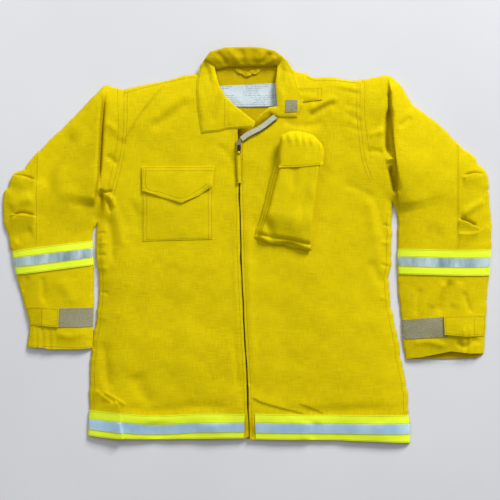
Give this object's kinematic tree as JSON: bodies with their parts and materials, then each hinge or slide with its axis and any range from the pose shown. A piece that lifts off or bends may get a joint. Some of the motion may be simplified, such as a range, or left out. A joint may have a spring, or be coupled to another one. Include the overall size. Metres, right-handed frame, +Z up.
{
  "type": "firefighter coat",
  "caption": "Yellow single-layer firefighter's coat lying flat, front zip, turned-down collar, flap chest pocket, bellows radio pocket and reflective trim.",
  "frame": {"origin": "centre of the outline, on the floor the coat lies on", "axes": "+Y towards the collar, +X towards the wearer's left sleeve, +Z up off the floor"},
  "size_m": [0.9268, 0.7501, 0.0402],
  "materials": {
    "coat_cloth": "matt woven aramid-type cloth",
    "fluorescent_band": "fluorescent woven tape",
    "reflective_stripe": "retroreflective tape, satin",
    "loop_pad": "brushed loop pile",
    "hook_pad": "woven hook tape",
    "label": "blank satin label",
    "zip_tape": "woven tape",
    "brass": "dull brass",
    "dark_metal": "black paint, worn"
  },
  "bodies": {
    "coat": {"back_panel": "coat_cloth", "right_front_panel": "coat_cloth", "left_front_panel": "coat_cloth", "wind_flap": "coat_cloth", "collar_back": "coat_cloth", "care_label": "label", "chest_pouch": "coat_cloth", "radio_pouch": "coat_cloth", "zipper_right_tape": "zip_tape", "zipper_left_tape": "zip_tape", "zipper_right_teeth": "brass", "zipper_left_teeth": "brass", "zipper_bottom_box": "brass", "right_hem_band": "fluorescent_band", "left_hem_band": "fluorescent_band", "back_hem_band": "fluorescent_band", "right_hem_stripe": "reflective_stripe", "left_hem_stripe": "reflective_stripe", "back_hem_stripe": "reflective_stripe"},
    "right_sleeve": {"right_sleeve_back": "coat_cloth", "right_sleeve_front": "coat_cloth", "right_elbow_panel": "coat_cloth", "right_sleeve_band_front": "fluorescent_band", "right_sleeve_stripe_front": "reflective_stripe", "right_sleeve_band_back": "fluorescent_band", "right_sleeve_stripe_back": "reflective_stripe", "right_cuff_tab_base": "coat_cloth", "right_cuff_loop_pad": "loop_pad"},
    "left_sleeve": {"left_sleeve_back": "coat_cloth", "left_sleeve_front": "coat_cloth", "left_elbow_panel": "coat_cloth", "left_sleeve_band_front": "fluorescent_band", "left_sleeve_stripe_front": "reflective_stripe", "left_sleeve_band_back": "fluorescent_band", "left_sleeve_stripe_back": "reflective_stripe", "left_cuff_tab_base": "coat_cloth", "left_cuff_loop_pad": "loop_pad"},
    "right_cuff_strap": {"right_cuff_tab": "coat_cloth", "right_cuff_hook_pad": "hook_pad"},
    "left_cuff_strap": {"left_cuff_tab": "coat_cloth", "left_cuff_hook_pad": "hook_pad"},
    "collar_right_wing": {"collar_right_leaf": "coat_cloth"},
    "collar_left_wing": {"collar_left_leaf": "coat_cloth", "collar_loop_pad": "loop_pad"},
    "throat_tab": {"collar_tab": "coat_cloth"},
    "hanger": {"hanger_loop": "coat_cloth"},
    "chest_lid": {"chest_flap": "coat_cloth"},
    "radio_lid": {"radio_flap": "coat_cloth"},
    "slider": {"zipper_slider": "brass"},
    "puller": {"zipper_puller": "dark_metal"},
    "pull_strap": {"zipper_pull_strap": "coat_cloth"}
  },
  "joints": [
    {"name": "right_sleeve_fold", "type": "hinge", "parent": "coat", "child": "right_sleeve", "pos_m": [-0.235, 0.221, 0.0167], "axis": [-0.1436, -0.9896, 0], "range_deg": [-150, 0]},
    {"name": "left_sleeve_fold", "type": "hinge", "parent": "coat", "child": "left_sleeve", "pos_m": [0.218, 0.207, 0.0167], "axis": [-0.1896, 0.9819, 0], "range_deg": [-150, 0]},
    {"name": "right_cuff_strap_hinge", "type": "hinge", "parent": "right_sleeve", "child": "right_cuff_strap", "pos_m": [-0.388, -0.136, 0.0189], "axis": [0, -1, 0], "range_deg": [0, 150]},
    {"name": "left_cuff_strap_hinge", "type": "hinge", "parent": "left_sleeve", "child": "left_cuff_strap", "pos_m": [0.42, -0.1515, 0.0189], "axis": [0, 1, 0], "range_deg": [0, 150]},
    {"name": "chest_flap_hinge", "type": "hinge", "parent": "coat", "child": "chest_lid", "pos_m": [-0.131, 0.149, 0.02095], "axis": [-1, 0, 0], "range_deg": [0, 170]},
    {"name": "radio_flap_hinge", "type": "hinge", "parent": "coat", "child": "radio_lid", "pos_m": [0.10675, 0.21001, 0.0175], "axis": [-0.9833, 0.1822, 0], "range_deg": [0, 90]},
    {"name": "zip_slide", "type": "slide", "parent": "coat", "child": "slider", "axis": [-0.0353, 0.9994, 0], "range_m": [-0.47, 0], "deforming": ["zipper_right_teeth", "zipper_left_teeth"]},
    {"name": "puller_hinge", "type": "hinge", "parent": "slider", "child": "puller", "pos_m": [-0.01625, 0.18788, 0.0211], "axis": [-0.9994, -0.0353, 0], "range_deg": [0, 150]},
    {"name": "pull_strap_hinge", "type": "hinge", "parent": "puller", "child": "pull_strap", "pos_m": [-0.01578, 0.17464, 0.0211], "axis": [0.9994, 0.0353, 0], "range_deg": [-150, 0]},
    {"name": "collar_right_fold", "type": "hinge", "parent": "coat", "child": "collar_right_wing", "pos_m": [-0.058, 0.322, 0.0167], "axis": [-0.6194, 0.7851, 0], "range_deg": [0, 85]},
    {"name": "collar_left_fold", "type": "hinge", "parent": "coat", "child": "collar_left_wing", "pos_m": [0.057, 0.338, 0.0167], "axis": [-0.3432, -0.9393, 0], "range_deg": [0, 85]},
    {"name": "collar_tab_hinge", "type": "hinge", "parent": "collar_left_wing", "child": "throat_tab", "pos_m": [0.112, 0.284, 0.0177], "axis": [0, -1, 0], "range_deg": [0, 100]},
    {"name": "hanger_loop_hinge", "type": "hinge", "parent": "coat", "child": "hanger", "pos_m": [0.001, 0.335, 0.0047], "axis": [-1, 0, 0], "range_deg": [0, 80]}
  ]
}
